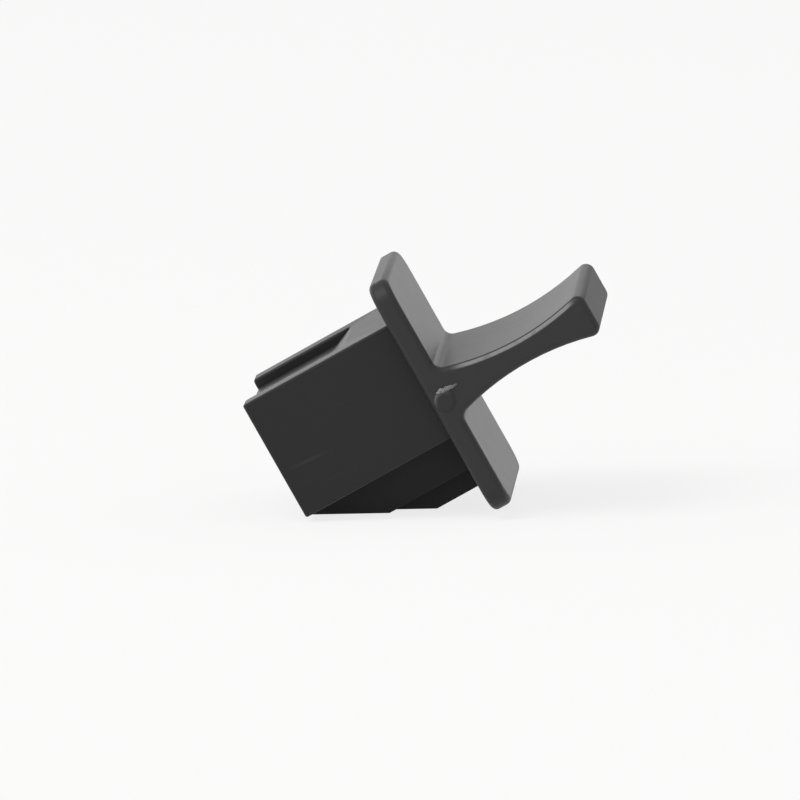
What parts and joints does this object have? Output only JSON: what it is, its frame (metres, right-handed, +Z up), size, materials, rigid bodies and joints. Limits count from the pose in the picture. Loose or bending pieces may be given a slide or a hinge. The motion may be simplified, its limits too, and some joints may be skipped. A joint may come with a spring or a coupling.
{
  "type": "ethernet dust cover",
  "caption": "Push-in dust cover for a modular network jack: a hollow keyed insert, a stop flange and a waisted pull grip, moulded in one piece of black plastic.",
  "frame": {"origin": "on the surface it lies on, under the middle of the cover's length and on its mid-plane", "axes": "+Z up, +X from the insert's nose towards the grip, +Y across the width; the insertion axis leans 28 degrees, nose down, because the cover lies on the lead-in slope of its keys"},
  "size_m": [0.018, 0.0137, 0.0122],
  "materials": {
    "black_plastic": "satin black moulding with a fine mould-blasted grain"
  },
  "bodies": {
    "root": {"dust_cover": "black_plastic"}
  },
  "joints": []
}
